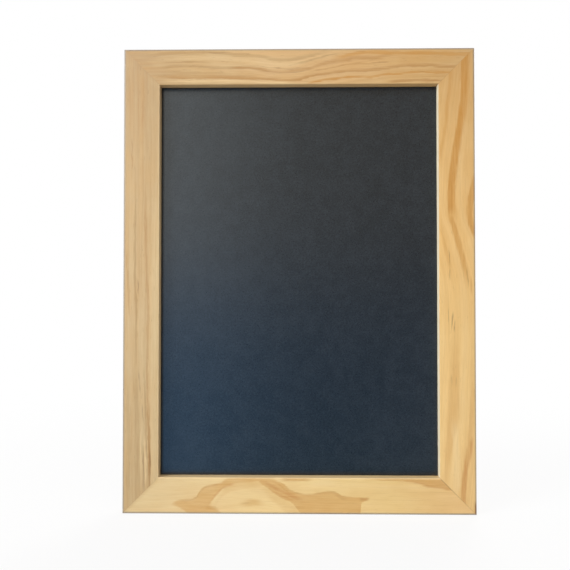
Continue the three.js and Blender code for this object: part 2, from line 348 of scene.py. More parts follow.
def grainMark(along, across, length, mark):
    share = calc("DIVIDE", along, length)
    soft = mark["soft"]
    if "line" in mark:
        half, softIn = mark["half"], mark["softIn"]
        gap = less(across, heightAlong(share, mark["line"], length))
        above = ease(gap, -half - soft, -half + soft * softInside)
        below = ease(gap, half + softIn, half - softIn * softInside)
        mask = scaled(above, below)
    else:
        mask = 1.0
        for way, points in mark["sides"]:
            if points:
                gap = less(across, heightAlong(share, points, length))
                mask = scaled(ease(gap, -way * soft, way * soft), mask)
    start, end = mark["span"]
    off = calc("ABSOLUTE", less(along, (start + end) / 2))
    window = ease(off, (end - start) / 2, (end - start) / 2 - mark["fade"])
    return scaled(scaled(mask, window), mark["strength"])


def pineFinish(rail):
    material, surface, (x, y, z) = newFinish("pine of the " + rail["name"].replace("_", " "))
    length = rail["length"]
    fromLeft = plus(x, halfWidth)
    fromTop = less(board["height"], z)
    along = fromTop if rail["upright"] else fromLeft
    rise = {"top": fromTop, "bottom": z, "left": fromLeft, "right": less(halfWidth, x)}
    across = rise[rail["edge"]]
    deep = plus(y, backFace)

    def field(name, sideways):
        runs, detail, roughness, shift = pineFields[name]
        return grainNoise((along, sideways, deep), runs, detail, roughness, rail["shift"] + shift)

    def zone(name, value):
        return ease(value, *zones[name])

    def strip(name, nameDeep):
        return scaled(zone(name, across), zone(nameDeep, deep))

    # Growth rings lean as they go into the wood, and wander a little along it
    growth = scaled(deep, rail["lean"], across)
    for name in ("drift", "waver"):
        growth = swayed(growth, field(name, across), sway[name])
    frayed = swayed(growth, field("fray", across), sway["fray"])
    bend = heightAlong(calc("DIVIDE", along, length), rail["bend"], length)
    bent = less(growth, bend)
    bands, lines, hair = (field(name, bent) for name in ("bands", "lines", "hair"))
    fibre, flecks, blotch = (field(name, across) for name in ("fibre", "flecks", "blotch"))

    ramp = add("ShaderNodeValToRGB", {0: calc("DIVIDE", along, length)})
    stops = ramp.color_ramp.elements
    while len(stops) < len(rail["body"]):
        stops.new(0.5)
    for stop, (place, levels) in zip(stops, rail["body"]):
        stop.position, stop.color = place, screenColour(*levels)
    colour = coated(ramp.outputs[0], [
        (ease(bands, 0.42, 0.68), rail["bands"], tones["honey"]),
        (ease(bands, 0.5, 0.3), 0.12, tones["pale"]),
        (ease(lines, 0.5, 0.76), rail["lines"], tones["brown"]),
        (ease(hair, 0.5, 0.72), rail["hair"], tones["brown"]),
        (ease(blotch, 0.4, 0.75), 0.14, tones["honey"]),
        (ease(blotch, 0.5, 0.25), 0.08, tones["pale"])])

    # The marks, those of one tone together, and uneven
    patch = scaled(field("patch", across), *uneven["patch"])
    patch = scaled(patch, scaled(field("streaks", growth), *uneven["streaks"]))
    sums = {}
    for mark in rail["marks"]:
        mask = grainMark(along, frayed, length, mark)
        if mark["without"]:
            cut = grainMark(along, frayed, length, mark["without"])
            mask = scaled(mask, calc("SUBTRACT", 1.0, cut, clamp=True))
        tone = mark["tone"]
        sums[tone] = calc("MAXIMUM", sums[tone], mask) if tone in sums else mask
    for tone, mask in sums.items():
        colour = tint(calc("MULTIPLY", mask, patch, clamp=True), colour, tones[tone])

    # The thin glue line at each mitre is fainter towards the outer edge, and one corner stands a little open
    fromEnd = less(length, along)
    near, far = rail["joints"]
    joint = scaled(calc("GREATER_THAN", along, length / 2), far - near, near)
    joint = scaled(joint, scaled(zone("inner mitre", across), 0.6, 0.4))
    mitre = zone("mitre", less(calc("MINIMUM", along, fromEnd), across))
    openCorner = scaled(strip("open corner", "open corner deep"), zone("open corner from the end", fromEnd))

    # The outer rounds carry painted shade, the inner arris of the bottom rail and left stile a painted
    # glint, and the lips painted light: a painted highlight on the right stile's lip, lighter or darker
    # on the others, and a painted shadow in the crevice where a lip meets the panel. The lacquer stops
    # at the back, where the wood is bare and a little paler.
    lipShare, lipTone = rail["lipLightAndTone"]
    bare = calc("MAXIMUM", zone("back deep", deep), strip("rabbet", "rabbet deep"))
    colour = coated(colour, [
        (ease(fibre, 0.5, 0.72), 0.16, tones["brown"]),
        (ease(fibre, 0.48, 0.3), 0.1, tones["pale"]),
        (ease(flecks, 0.68, 0.78), rail["flecks"], tones["umber"]),
        (mitre, joint, tones["umber"]),
        # painted shade on the outer rounds
        (strip("rim", "rim deep"), rail["rim"], tones["rim shade"]),
        # a painted highlight along the inner arris
        (strip("glint", "glint deep"), rail.get("glint", 0.0), tones["glint"]),
        # painted light on the lips: a painted highlight on the right stile's lip, lighter or darker on the
        # others
        (strip("lip", "lip deep"), lipShare, screenColour(*lipTone)),
        # painted shadow in the crevice where the lip meets the panel
        (strip("lip", "crevice deep"), 0.9, tones["crevice shadow"]),
        (openCorner, rail.get("openCorner", 0.0), tones["umber"]),
        (bare, 0.45, tones["bare"])])
    plug(surface.inputs["Base Color"], colour)
    plug(surface.inputs["Roughness"], scaled(bare, 0.25, scaled(fibre, 0.22, 0.3)))
    plug(surface.inputs["Specular IOR Level"], 0.4)
    planed = scaled(scaled(bare, 0.5), calc("SINE", scaled(along, 2.1)))
    bump(surface, plus(scaled(lines, 0.6, fibre), planed), 0.03, 0.6)
    return material


topMarks = [
    streak("olive", [(0, 5.8), (14, 5.5), (23, 4.6), (32, 3.4), (50, 3.3), (69, 2.9), (78, 3.8), (87, 5.1),
        (96, 5.3), (105, 6.4), (114, 8.3), (123, 9.1), (132, 7.8), (141, 6.2), (150, 3.8), (162, 1)], 1.8,
        (8, 164), 0.42, fade=24, soft=1.1),
    streak("umber", [(62, 3), (80, 3.2)], 0.4, (62, 80), 0.4, fade=8, soft=0.4),
    streak("brown", [(98, 16), (114, 18.1), (123, 18.2), (132, 16.8), (141, 15.6), (150, 12.5), (160, 10),
        (169, 9.2), (178, 7.2), (190, 7.7), (198, 6.4), (208, 4.6)], 1.4, (96, 210), soft=1.3),
    streak("gold", [(160, 7.4), (169, 6.3), (178, 4.2), (187, 3.4), (205, 4.2), (232, 3.8), (250, 4.7),
        (267, 4.9)], 2, (158, 280), soft=1.1),
    streak("olive", [(26, 10.2), (50, 10.3), (74, 10.6)], 0.8, (22, 74), fade=20, soft=0.6),
    streak("olive", [(14, 15), (23, 14.7), (32, 13.8), (50, 13.2), (60, 14), (78, 14.9), (96, 15),
        (110, 17)], 1.4, (18, 116), 0.42, fade=20, soft=0.9),
    streak("brown", [(80, 15), (96, 15), (112, 17.4)], 1.2, (78, 116), 0.55, fade=10, soft=0.6),
    streak("olive", [(26, 17.3), (50, 18.5), (70, 19), (90, 21)], 1.4, (24, 92), 0.28, fade=16, soft=1),
    streak("brown", [(20, 22), (50, 22.5), (78, 22.4), (96, 23.4), (114, 24.2), (123, 25), (132, 24.4),
        (141, 22.1), (150, 20.6), (160, 19.1), (169, 18), (187, 17), (196, 16.3), (205, 14.9), (223, 13.4),
        (232, 13.5), (241, 14.3), (256, 14.2)], 1.1, (24, 266), 0.62, fade=18, soft=1.8, softIn=0.5),
    streak("olive", [(20, 20.2), (60, 20.8), (100, 21.6)], 1.6, (18, 106), 0.34, soft=2),
    streak("olive", [(128, 12.4), (141, 9.8), (152, 6.6), (166, 3.6)], 0.6, (124, 168), 0.4, fade=12,
        soft=0.8),
    streak("brown", [(140, 19), (156, 15.4), (172, 12.6), (190, 11.4), (206, 9.6)], 0.5, (136, 210), 0.42,
        soft=0.7),
    streak("umber", [(189, 11.6), (200, 10.8)], 0.3, (188, 203), 0.4, fade=5),
    streak("umber", [(176, 3.2), (184, 2.9)], 0.3, (175, 186), 0.4, fade=4, soft=0.4),
    streak("gold", [(138, 26.8), (150, 25.1), (160, 23.7), (169, 22.5), (178, 21.9), (187, 22.3),
        (196, 20.8), (214, 19.5), (223, 18.4), (241, 18.9), (254, 19)], 0.9, (138, 260), 0.66, fade=8,
        soft=1.2, softIn=0.6),
    streak("brown", [(202, 25.8), (223, 24.8), (244, 25)], 1.2, (198, 248), 0.62, fade=10, soft=0.9),
    streak("umber", [(100, 12.8), (112, 14.6), (123, 15.7), (134, 15.2)], 0.3, (98, 138), 0.3, fade=10,
        soft=0.45),
    streak("umber", [(104, 16.4), (116, 18.5), (130, 18.4), (142, 15.8)], 0.3, (100, 144), 0.25, fade=10),
    streak("pale", [(20, 25), (100, 25.5), (134, 26.8)], 1.2, (24, 138), 0.3, fade=20, soft=0.9),
    streak("pale", [(30, 7.6), (80, 8.4), (110, 12.2), (124, 12.8), (140, 9.8)], 2.4, (28, 144), 0.2,
        fade=20, soft=1.4),
]

bottomMarks = [
    streak("olive", [(0, 1), (28, 29)], 1, (0, 34), 0.3, fade=4, soft=5),
    region("flame", [(37, 6.6), (44, 4.5), (50, 0.5), (56, -4), (100, -9)], [(37, 6.8), (43, 10.2),
        (50.6, 11), (55.9, 12.9), (57.8, 16), (60.4, 19.2), (64.2, 21.2), (69.5, 22.4), (74.8, 23.8),
        (78, 25.7), (84, 27.4), (110, 28.4)], (35, 118), 0.56, fade=7, soft=0.9, without=region("flame",
        [(65, 6), (70, 4.2), (75, 1), (80, -5)], [(65, 6), (67.2, 9.1), (70.2, 12.9), (74, 16.7),
        (77, 19.6), (80.8, 21.2), (86, 22.8), (92, 23.8), (100, 24.4), (118, 25)], (64, 132), 1, fade=5,
        soft=1.3)),
    streak("brown", [(43, 9.9), (50.6, 10.6), (55.9, 12.2), (58.4, 15.6), (61, 18.7), (64.6, 20.7),
        (70, 21.8), (75, 23.3)], 0.7, (40, 78), 0.26, fade=10, soft=0.7),
    streak("rust", [(64, 5.3), (66.4, 9.1), (69.4, 12.9), (73, 16.7), (76, 19.5), (80, 21.1), (86, 22.4)],
        0.9, (63, 88), 0.28, fade=8, soft=1.2),
    streak("flame", [(69.5, 5.4), (72, 10.6), (75, 14.4), (79.5, 18), (86, 20.4), (96, 22), (108, 22.4)],
        3.4, (66, 112), 0.24, soft=2),
    streak("gold", [(62, 3), (67, 4.8), (72, 3)], 2.2, (61, 74), 0.26, fade=5, soft=1.2),
    streak("flame", [(88, 8), (98.3, 8.8), (108, 8)], 3, (87, 110), fade=11, soft=2.6),
    streak("brown", [(90, 8.2), (95, 8.6)], 0.5, (88, 99), 0.24, fade=5, soft=0.9),
    region("flame", [(103, 24), (111, 18.9), (115.7, 15.1), (122.5, 11.4), (128.5, 8.3), (132.3, 3.8),
        (135.4, 0), (142, -6), (172, -9), (178.2, -8), (179.6, 3), (180.2, 8.6), (182, 9.8), (185, 11),
        (188, 12.6)], [(103, 27.8), (111, 26.5), (117.2, 25), (121.7, 23.1), (124.8, 20.4), (127.8, 18.4),
        (133.8, 16.3), (141.4, 15.3), (149, 16.5), (155, 17.7), (160, 17.6), (164, 15.4), (168, 13.9),
        (175.5, 13.4), (188, 12.8)], (101, 188), 0.6, fade=4, soft=0.8),
    region("flame", [(102, 21), (112, 12), (122, 3), (128, -4)], [(102, 24), (112, 19), (123, 12), (133, 5),
        (142, -2)], (101, 142), 0.22, fade=12, soft=2.6),
    streak("rust", [(104, 25.6), (112.6, 21.4), (118.7, 18.2), (124.8, 15.9), (130.8, 12.9), (138, 10.6)],
        1.4, (103, 140), 0.42, fade=10, soft=1.7),
    streak("rust", [(109, 19.8), (118.7, 15.1), (126.3, 12.1), (132, 9.6)], 0.8, (108, 134), 0.3, fade=10,
        soft=1.2),
    streak("gold", [(112, 25.2), (118, 22.7), (123, 18.9), (128.5, 15.9), (134, 14)], 0.6, (110, 136), 0.3,
        fade=10, soft=1),
    streak("brown", [(124.8, 19.9), (127.8, 17.9), (133.8, 15.8), (141.4, 14.8), (149, 16), (155, 17.2),
        (160, 17.1), (164, 14.9), (168, 13.4), (175.5, 12.9)], 0.6, (122, 178), 0.22, fade=10, soft=0.8),
    streak("brown", [(160, 16.2), (164, 13.6), (169, 11.4)], 1.4, (158, 172), 0.22, fade=6, soft=1.4),
    streak("brown", [(178, 11.8), (184.6, 11.6)], 1.5, (178, 187), 0.36, fade=3, soft=0.9),
    streak("gold", [(116, 27), (132, 26.4), (146, 27)], 1.8, (116, 146), fade=10, soft=1.2),
    streak("gold", [(180, 27), (200, 26.7), (222, 26.2)], 1.6, (178, 224), 0.45, fade=18, soft=1),
    region("gold", [(200, 26.6), (214, 25.2), (223, 23.4), (232, 21), (242, 19.4), (256, 17.4)],
        [(200, 27.2), (256, 27.4)], (198, 268), fade=12, soft=1.2),
    streak("rust", [(212, 25.6), (221, 24.7), (228.5, 22.6), (236.8, 20.6), (248, 20)], 0.8, (208, 254),
        0.26, fade=10, soft=1),
    streak("pale", [(140, 22), (150, 24), (162, 23)], 3.5, (136, 168), 0.25, soft=2.6),
]

leftMarks = [
    region("pale", [(0, 27), (60, 25.5), (110, 22.5), (190, 20), (353, 21)], None, (60, 420), 0.26,
        fade=120, soft=2.6),
    streak("olive", [(12, 13), (28, 29)], 1, (8, 34), 0.24, fade=5, soft=4.5),
    streak("brown", [(24, 14.6), (45, 15), (62, 14.6)], 0.6, (20, 68), 0.36, soft=0.6),
    streak("olive", [(90, 7), (105, 8.7), (154, 9), (178, 9.1), (190, 9.9), (214, 10), (256, 9.6)], 1.1,
        (84, 262), 0.55, fade=60, soft=0.9),
    streak("olive", [(240, 9.6), (263, 9.9), (287, 11), (323, 11.8), (350, 11.4)], 2.8, (236, 360), 0.36,
        fade=26, soft=1.3),
    streak("brown", [(104, 16.2), (130, 17), (154, 17.4), (178, 18.2), (190, 18.9), (240, 19), (263, 19.2),
        (287, 19.8), (299, 20.2), (323, 20.7), (340, 20.8)], 1.1, (98, 342), 0.45, fade=34, soft=0.9),
    streak("olive", [(276, 19.5), (299, 20.2), (323, 20.7), (338, 20.8)], 1.4, (270, 342), 0.6, fade=16,
        soft=0.7),
    streak("umber", [(306, 20.6), (320, 21), (334, 20.9)], 0.4, (302, 337), fade=10, soft=0.4),
    streak("olive", [(244, 16.2), (263, 17), (287, 17.8), (300, 18.3)], 0.8, (240, 308), 0.4, soft=0.6),
    streak("umber", [(298, 14.9), (311, 15.9), (334, 16.3)], 0.4, (298, 340), 0.42),
    streak("pale", [(288, 16.4), (299, 16.9), (311, 17.6), (330, 18)], 0.5, (290, 336), soft=0.6),
    streak("pale", [(292, 18.8), (311, 19.4), (334, 19.6)], 0.4, (288, 336), 0.4, fade=12),
    streak("umber", [(296, 18.4), (314, 19), (336, 19.2)], 0.3, (294, 338), 0.34, fade=10, soft=0.4),
    streak("umber", [(176, 11.2), (187, 12)], 0.4, (174, 190), 0.4, fade=6),
    streak("umber", [(244, 12.2), (262, 13.6)], 0.4, (242, 266), 0.34, fade=9),
    streak("umber", [(270, 14.6), (282, 15.6)], 0.4, (268, 286), 0.36, fade=7),
    streak("pale", [(284, 13.6), (311, 13.9), (334, 14)], 0.7, (280, 336), 0.3, fade=16, soft=0.7),
    streak("olive", [(250, 3.2), (290, 4.6), (340, 5)], 2, (246, 350), 0.28, fade=26, soft=1.2),
    streak("brown", [(152, 2.6), (178, 3.7), (190, 4.4), (206, 5.2)], 0.9, (150, 210), 0.4, soft=0.6),
    streak("brown", [(66, 5.6), (86, 6.8), (100, 6.2)], 0.5, (64, 104), 0.45),
    streak("umber", [(70, 6), (84, 6.6)], 0.3, (68, 86), 0.3, fade=8, soft=0.4),
    streak("umber", [(88, 8.4), (98, 9)], 0.3, (86, 100), 0.26, fade=8, soft=0.4),
]

rightMarks = [
    streak("gold", [(0, 7.6), (20, 7.8), (32.5, 8.1), (44.6, 9.1), (56.7, 11.1), (68.8, 13), (81, 15),
        (93, 16.8), (105, 18.1), (117, 18.4), (127, 17.8), (136, 15.4)], 4, (-20, 136), 0.7, fade=16,
        soft=2.9, softIn=1.5),
    streak("gold", [(112, 18.6), (120, 18.7), (129, 18.3), (136, 16.4), (141.5, 14.9), (153.6, 12),
        (165.7, 8.6), (178, 6.4), (190, 5.2)], 3, (112, 186), fade=22, soft=1.8, softIn=1.4),
    streak("honey", [(6, 3), (32, 5), (48, 7)], 1.6, (4, 60), 0.4, fade=16, soft=1.4),
    streak("gold", [(8, 17.4), (20, 18.3), (32.5, 19.5), (44.6, 21), (56.7, 22), (68.8, 23.7), (81, 26.1),
        (92, 27.4)], 1.4, (4, 94), 0.36, soft=1.6),
    streak("gold", [(93, -1.8), (100, 0.1), (107, 1.7), (116, 3.6), (124, 4.2), (131, 3.8), (139, 1.4),
        (146, -1.2)], 3.6, (92, 148), 0.6, fade=8, soft=1.4),
    streak("gold", [(124, 27.8), (137, 26), (145, 24.4), (153.6, 22.6), (165.7, 20), (178, 18.4),
        (190, 18)], 1.2, (122, 186), 0.3, fade=26, soft=1.5),
    streak("umber", [(152, 20.4), (159, 19.9), (166, 19.8)], 0.3, (151, 166), 0.48, fade=5),
    streak("umber", [(168, 20), (177, 19.4)], 0.3, (167, 178), 0.42, fade=4),
    streak("umber", [(197, 20.4), (211, 20.8)], 0.3, (196, 212), 0.48, fade=6),
    streak("umber", [(200, 17.2), (208, 17.8), (217, 19)], 0.3, (199, 218), fade=6),
    streak("umber", [(206, 15.6), (215, 16.2)], 0.3, (205, 217), 0.48, fade=5),
    streak("umber", [(168, 6.8), (180, 5.8)], 0.3, (166, 184), 0.4, fade=7, soft=0.6),
    streak("gold", [(174, 4), (186, 3.2)], 0.7, (172, 190), 0.4, fade=7, soft=0.7),
    streak("umber", [(247, 19), (257, 18.7)], 0.3, (246, 258), 0.28, fade=5),
    streak("umber", [(249, 15), (256, 15.2)], 0.3, (248, 258), 0.24, fade=4),
    streak("honey", [(250, 1.4), (262.6, 2.6), (274.7, 3.4), (286.8, 3.9), (299, 5.5), (311, 7.9)], 2.4,
        (246, 312), 0.46, fade=16, soft=1.6),
    streak("honey", [(286, 3.2), (299, 4.9), (311, 7.3), (323, 9.2), (335.3, 10.2), (353, 11.2)], 2.6,
        (284, 372), 0.7, fade=18, soft=1.6),
    streak("rust", [(303, 4.8), (311, 7), (318, 8.4), (325, 9.4), (337, 10.2), (350, 10.8)], 2.4,
        (303, 358), 0.28, fade=12, soft=1.3),
    streak("rust", [(298, 3.6), (310, 4.6)], 1, (294, 313), 0.34, fade=7, soft=1),
    streak("pale", [(280, 17), (300, 15.6), (320, 14.6), (335, 15.6)], 3.2, (276, 346), 0.3, fade=18,
        soft=2),
    region("honey", [(210, 13.8), (262, 12.6), (274.7, 12.3), (286.8, 14.4), (299, 17.3), (311, 19.6),
        (323, 21), (345, 22.4)], [(210, 17.4), (262, 20.2), (274.7, 21), (286.8, 22), (299, 22.6),
        (311, 23.2), (323, 24), (345, 26.4)], (208, 350), 0.44, fade=44, soft=1.5),
]
# A rail's lip tint is the share and colour of the painted light on its lip, and its glint a painted highlight
rails = [
    {"name": "top_rail", "edge": "top", "upright": False, "length": board["width"], "turn": 2 * quarter,
     "shift": 11.3, "lean": 0.6, "bands": 0.22, "lines": 0.22, "hair": 0.2, "flecks": 0.3,
     "joints": (0.08, 0.2), "rim": 0.95, "lipLightAndTone": (0.3, (206, 172, 120)), "marks": topMarks,
     "body": [(0, (180, 150, 112)), (0.2, (199, 168, 123)), (0.42, (210, 176, 129)),
              (0.65, (206, 167, 116)), (0.85, (200, 160, 104)), (1, (196, 160, 109))],
     "bend": [(0, 0), (90, 0.4), (125, 3.6), (150, -1), (190, -7.5), (230, -9.5), (267, -9)]},
    {"name": "bottom_rail", "edge": "bottom", "upright": False, "length": board["width"], "turn": 0.0,
     "shift": 23.9, "lean": 0.4, "bands": 0.12, "lines": 0.08, "hair": 0.06, "flecks": 0.12,
     "joints": (0.1, 0.6), "rim": 0.95, "lipLightAndTone": (0.5, (240, 210, 164)), "glint": 0.45,
     "marks": bottomMarks,
     "body": [(0, (221, 196, 147)), (0.12, (226, 199, 148)), (0.3, (237, 208, 151)),
              (0.6, (240, 210, 147)), (0.78, (234, 201, 137)), (1, (230, 190, 131))],
     "bend": [(0, 0), (70, 4), (98, 8), (130, 3), (160, 1), (267, 0)]},
    {"name": "left_stile", "edge": "left", "upright": True, "length": board["height"], "turn": quarter,
     "shift": 37.1, "lean": 0.5, "bands": 0.18, "lines": 0.22, "hair": 0.28, "flecks": 0.35,
     "joints": (0.08, 0.12), "rim": 0.95, "lipLightAndTone": (0.3, (214, 182, 134)), "glint": 0.35,
     "marks": leftMarks,
     "body": [(0, (183, 153, 114)), (0.3, (197, 168, 125)), (0.55, (202, 174, 131)),
              (0.75, (199, 172, 128)), (1, (194, 167, 123))],
     "bend": [(0, 0), (120, 0.8), (240, -0.6), (353, 0)]},
    {"name": "right_stile", "edge": "right", "upright": True, "length": board["height"], "turn": -quarter,
     "shift": 51.7, "lean": 0.5, "bands": 0.15, "lines": 0.12, "hair": 0.1, "flecks": 0.2,
     "joints": (0.15, 0.4), "rim": 0.6, "lipLightAndTone": (0.85, (255, 247, 220)), "openCorner": 0.8,
     "marks": rightMarks,
     "body": [(0, (197, 155, 99)), (0.25, (221, 179, 116)), (0.42, (231, 188, 121)),
              (0.6, (234, 195, 129)), (0.85, (237, 199, 134)), (1, (232, 194, 130))],
     "bend": [(0, -6), (60, 4), (110, 9), (150, 0), (190, -8), (260, -6), (353, 2)]},
]


# V-nails: a bent strip with rolled ends, two of them across each mitre

vNail = {"Thickness": 0.5, "Leg": 5.5, "Roll radius": 0.55, "Height": 10.0, "Top": backFace - 0.2,
         "Per corner": 2, "Wood": rabbetWall, "Board width": board["width"], "Board height": board["height"]}


def vNailShape():
    size = newShape("V-nails", vNail)
    leg = size["Leg"]
    path = outline([spot(x=leg), spot(), spot(z=leg)], closed=False)
    strip = geometry("CurvePrimitiveQuadrilateral", {"Width": size["Height"], "Height": size["Thickness"]})
    roll = geometry("MeshCylinder", {"Vertices": 16, "Radius": size["Roll radius"],
                                     "Depth": size["Height"]})
    roll = moved(roll, turn=Euler((quarter, 0, 0)))
    nail = joined([sweep(path, strip), moved(roll, spot(x=leg)), moved(roll, spot(z=leg))])
    step = calc("DIVIDE", size["Wood"], size["Per corner"])
    first = scaled(step, 0.5)
    middle = scaled(size["Height"], -0.5, size["Top"])
    pair = copiesInRow(nail, size["Per corner"], spot(first, middle, first), spot(x=step, z=step))
    right = scaled(size["Board width"], 0.5)
    left = scaled(right, -1.0)
    corners = [(left, 0.0, 0.0), (right, 0.0, -quarter), (right, size["Board height"], 2 * quarter),
               (left, size["Board height"], quarter)]
    placed = [moved(pair, spot(x=x, z=z), Euler((0, turn, 0))) for x, z, turn in corners]
    return endShape(size, joined(placed))


# Rails: one rabbeted section swept along each side, its ends slanted to the mitre, with slots for the nails

moulding = {"Length": 267.0, "Out": midHeight, "Turn": 0.0, "Face": board["face"], "Depth": board["depth"],
            "Lip": board["lip"], "Rabbet": board["rabbet"], "Front radius": 1.5, "Inner radius": 0.6,
            "Back radius": 1.0, "Rabbet radius": 0.5, "Steps": 7, "Glue line": 0.02, "Stretches": 36,
            "Slot room": 0.12, "Slot over": 1.0}


def railShape(slotTree):
    size = newShape("Mitred rail", {**moulding, **vNail})
    front = scaled(size["Depth"], -0.5)
    back = scaled(size["Depth"], 0.5)
    behindLip = plus(front, size["Lip"])
    wall = less(size["Face"], size["Rabbet"])
    corners = [spot(0.0, front), spot(size["Face"], front), spot(size["Face"], behindLip),
               spot(wall, behindLip), spot(wall, back), spot(0.0, back)]
    radii = [size["Front radius"], size["Inner radius"], 0.0, 0.0, size["Rabbet radius"], size["Back radius"]]
    section = outline(corners, radii, size["Steps"])
    half = scaled(size["Length"], 0.5)
    line = straight(spot(z=scaled(half, -1.0)), spot(z=half))
    line = geometry("ResampleCurve", {0: line, "Count": size["Stretches"]})
    place = parts(geometry("InputPosition"))
    cutBack = scaled(size["Glue line"], math.sqrt(0.5), place[0])
    slant = calc("DIVIDE", less(half, cutBack), half)
    slanted = spot(place[0], place[1], scaled(place[2], slant))
    mitred = geometry("SetPosition", {0: sweep(line, section), "Position": slanted})
    # the section's x points from the outer edge inwards, so the bottom rail is a quarter turn away
    out = scaled(size["Out"], -1.0)
    side = moved(moved(mitred, spot(x=out)), turn=Euler((0, -quarter, 0)))
    turn = add("FunctionNodeEulerToRotation", {0: spot(y=size["Turn"])}).outputs[0]
    side = moved(moved(side, turn=turn), (0, 0, midHeight))
    slots = add("GeometryNodeGroup", node_tree=slotTree)
    wider = {"Thickness": scaled(size["Slot room"], 2.0), "Roll radius": size["Slot room"],
             "Top": size["Slot over"]}
    for label in vNail:
        value = plus(size[label], wider[label]) if label in wider else size[label]
        plug(slots.inputs[label], value)
    return endShape(size, cutOut(side, slots.outputs[0], **{"Self Intersection": True}), 0.5)


nailTree = vNailShape()
railTree = railShape(nailTree)
for side in rails:
    out = halfWidth if side["upright"] else midHeight
    sizes = {"Length": side["length"], "Out": out, "Turn": side["turn"]}
    piece = fromShape("pine_" + side["name"], railTree, sizes, pineFinish(side))
    finishPiece(piece, "frame", [side["name"]])
print("rails done")


# Framer's points: flat steel, pointed where it goes into the wood, holding the panel to the lips

pointPlate = {"Length": 15.0, "Width": 5.5, "Thickness": 0.4, "Tip": 2.0, "Bite": 5.0, "Lift": panelBack,
              "Corner radius": 0.3, "Edge": 0.12, "Sight width": sight["width"],
              "Sight height": sight["height"], "Per width": 2, "Per height": 3}


def pointsShape():
    size = newShape("Framers points", pointPlate)
    half = scaled(size["Width"], 0.5)
    other = scaled(half, -1.0)
    corners = [spot(), spot(half, size["Tip"]), spot(half, size["Length"]), spot(other, size["Length"]),
               spot(other, size["Tip"])]
    plan = outline(corners, [0.0, size["Corner radius"], half, half, size["Corner radius"]], 8)
    # four short stretches, the first and last drawn in, give the plate its eased edges
    thin = size["Thickness"]
    heights = [0.0, size["Edge"], less(thin, size["Edge"]), thin]
    line = outline([spot(z=height) for height in heights], closed=False)
    drawnIn = less(1.0, calc("DIVIDE", size["Edge"], half))
    plate = sweep(line, plan, scale=perCorner([drawnIn, 1.0, 1.0, drawnIn], "FLOAT"))
    plate = moved(plate, turn=Euler((quarter, 0, 0)))
    lifted = plus(size["Lift"], thin)
    placed = []
    for run, rise, turn in (("width", "height", 0.0), ("height", "width", -quarter),
                            ("width", "height", 2 * quarter), ("height", "width", quarter)):
        count = size["Per " + run]
        step = calc("DIVIDE", size["Sight " + run], count)
        first = scaled(size["Sight " + run], -0.5, scaled(step, 0.5))
        low = less(scaled(size["Sight " + rise], -0.5, -board["rabbet"]), size["Bite"])
        row = copiesInRow(plate, count, spot(first, lifted, low), spot(x=step))
        placed.append(moved(row, (0, 0, midHeight), Euler((0, turn, 0))))
    return endShape(size, joined(placed))


# Screws: pan heads with a cross recess, and a thread round the shank

screws = {"Head radius": 3.5, "Head height": 2.3, "Head edge": 0.12, "Crown": 1.9, "Shank radius": 1.35,
          "Shank": 10.0, "Tip": 3.0, "Thread pitch": 1.3, "Thread": 0.3, "Thread from": 1.0,
          "Plain": 1.2, "Recess": 1.55, "Recess waist": 0.42, "Recess depth": 1.5, "Recess over": 0.3,
          "Across": 122.25, "Up": 246.95, "Seat": backFace + 1.75}


def screwShape():
    size = newShape("Pan head screws", screws)
    thin, wide, high = size["Shank radius"], size["Head radius"], size["Head height"]
    tip = scaled(size["Shank"], -1.0)
    hub = 1.0  # the profile is swept round a circle of this radius, and drawn from its middle
    corners = [(0.0, tip), (thin, plus(tip, size["Tip"])), (thin, 0.0), (wide, 0.0), (wide, high),
               (0.0, high)]
    corners = [spot(less(x, hub), y) for x, y in corners]
    radii = [0.0, 0.4, 0.25, size["Head edge"], size["Crown"], 0.0]
    profile = outline(corners, radii, 8, closed=False)
    body = merged(sweep(circle(48, hub), profile, False))
    # the body still stands head down
    top = scaled(high, -1.0)
    star = geometry("CurveStar", {"Points": 4, "Inner Radius": size["Recess waist"],
                                  "Outer Radius": size["Recess"]})
    line = straight(spot(z=less(top, size["Recess over"])), spot(z=plus(top, size["Recess depth"])))
    body = cutOut(body, sweep(line, star, scale=perCorner([1.12, 0.3], "FLOAT")))
    long = less(less(size["Shank"], size["Tip"]), size["Plain"])
    turns = calc("DIVIDE", long, size["Thread pitch"])
    helix = geometry("CurveSpiral", {"Resolution": 20, "Rotations": turns, "Height": long,
                                     "Start Radius": thin, "End Radius": thin})
    thread = moved(sweep(helix, circle(4, size["Thread"])), spot(z=size["Thread from"]))
    screw = moved(joined([body, thread]), turn=Euler((quarter, 0, 0)))
    pair = [moved(screw, spot(x, size["Seat"], size["Up"]), Euler((0, turn, 0)))
            for x, turn in ((scaled(size["Across"], -1.0), 0.5), (size["Across"], -0.2))]
    return endShape(size, joined(pair))


# D-rings: bent wire, butted in the middle of the bar

dRing = {"Wire radius": 1.0, "Half width": 7.75, "Corner radius": 2.0, "Leg": 0.5, "Butt gap": 0.3,
         "Sides": 20, "Corner steps": 8, "Bow steps": 24, "Across": 122.25, "Bar": backFace + 2.1,
         "Up": 263.0, "Tilt": 5.32}


